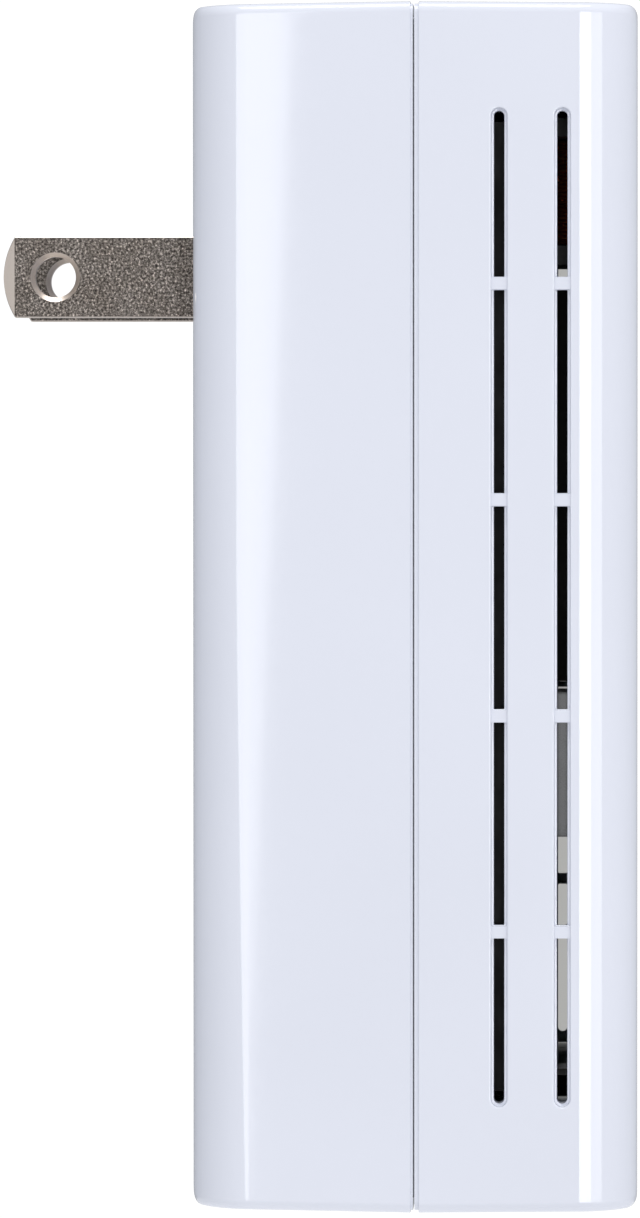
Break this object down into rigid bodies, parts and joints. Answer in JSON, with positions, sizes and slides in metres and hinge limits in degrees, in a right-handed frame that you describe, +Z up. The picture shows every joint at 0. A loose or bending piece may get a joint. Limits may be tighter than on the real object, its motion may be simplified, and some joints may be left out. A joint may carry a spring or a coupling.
{
  "type": "powerline adapter",
  "caption": "Wall-plug powerline adapter: two-shell white housing with side vents, flat plug blades, an Ethernet port and a pair button underneath.",
  "frame": {"origin": "centre of the plug's two blades on the wall-side face", "axes": "+Z up, +Y toward the wall along the blades, front face toward -Y, X side to side"},
  "size_m": [0.054, 0.0496, 0.091],
  "materials": {
    "shell_white": "gloss white moulded ABS, faintly blue",
    "nickel": "nickel-plated brass, rolled, fine grain",
    "steel": "zinc-plated steel",
    "label": "blank matt label",
    "carrier": "black PBT",
    "brass": "bright brass",
    "mains_laminate": "phenolic board, lacquered",
    "data_laminate": "green glass-epoxy board, solder mask",
    "fuse_ceramic": "glazed",
    "blue_epoxy": "dipped epoxy",
    "yellow_case": "moulded case",
    "ferrite": "sintered ferrite, matt",
    "copper": "enamelled copper wire",
    "chip_black": "moulded epoxy package",
    "can_sleeve": "shrink sleeve",
    "can_blue": "shrink sleeve",
    "tape": "polyester tape",
    "white_package": "moulded package",
    "black_plastic": "moulded nylon",
    "film": "black insulating film",
    "pad": "soft silicone",
    "black_anodised": "black anodised",
    "crystal_case": "metal case",
    "tin": "tin-plated sheet",
    "gold": "gold-plated spring wire",
    "led": "LED package",
    "clear_pipe": "milky clear acrylic",
    "button_white": "gloss light grey",
    "plunger_cream": "moulded nylon",
    "plunger_red": "moulded nylon"
  },
  "bodies": {
    "case": {"rear_cover": "shell_white", "front_cover": "shell_white", "cover_screws": "steel", "rating_label": "label", "blade_left": "nickel", "blade_right": "nickel", "blade_carrier": "carrier", "blade_contacts": "brass", "mains_board": "mains_laminate", "mains_board_screws": "steel", "fuse": "fuse_ceramic", "varistor": "blue_epoxy", "line_capacitor": "yellow_case", "choke_core": "ferrite", "choke_windings": "copper", "bridge_rectifier": "chip_black", "bulk_capacitors": "can_sleeve", "filter_inductor": "ferrite", "power_controller": "chip_black", "transformer_core": "ferrite", "transformer_winding": "tape", "optocoupler": "white_package", "output_diode": "chip_black", "output_capacitors": "can_blue", "disc_capacitor": "blue_epoxy", "board_header": "black_plastic", "header_pins": "gold", "insulator_film": "film", "data_board": "data_laminate", "data_board_screws": "steel", "modem_chip": "chip_black", "thermal_pad": "pad", "heat_sink": "black_anodised", "memory_chip": "chip_black", "flash_chip": "chip_black", "crystal": "crystal_case", "coupling_core": "ferrite", "coupling_winding": "copper", "network_magnetics": "chip_black", "port_shield": "tin", "port_housing": "black_plastic", "status_leds": "led", "light_pipe": "clear_pipe", "pair_switch_base": "black_plastic", "reset_switch_base": "black_plastic"},
    "pair_button": {"pair_button": "button_white"},
    "pair_plunger": {"pair_switch_plunger": "plunger_cream"},
    "reset_plunger": {"reset_switch_plunger": "plunger_red"},
    "port_springs": {"port_contacts": "gold"}
  },
  "joints": [
    {"name": "pair_press", "type": "slide", "parent": "case", "child": "pair_button", "axis": [0, 0, 1], "range_m": [0, 0.0003], "stiffness_N_per_m": 800, "springref_m": -0.0015},
    {"name": "pair_plunger_press", "type": "slide", "parent": "case", "child": "pair_plunger", "axis": [0, 0, 1], "range_m": [0, 0.0003]},
    {"name": "reset_press", "type": "slide", "parent": "case", "child": "reset_plunger", "axis": [0, 0, 1], "range_m": [0, 0.00025], "stiffness_N_per_m": 800, "springref_m": -0.0015},
    {"name": "contact_flex", "type": "hinge", "parent": "case", "child": "port_springs", "pos_m": [0, -0.0224, -0.0684], "axis": [1, 0, 0], "range_deg": [0, 12], "stiffness_Nm_per_rad": 0.12, "springref_deg": -2.86}
  ],
  "couplings": [
    {"joint": "pair_plunger_press", "follows": "pair_press", "ratio": 1}
  ]
}
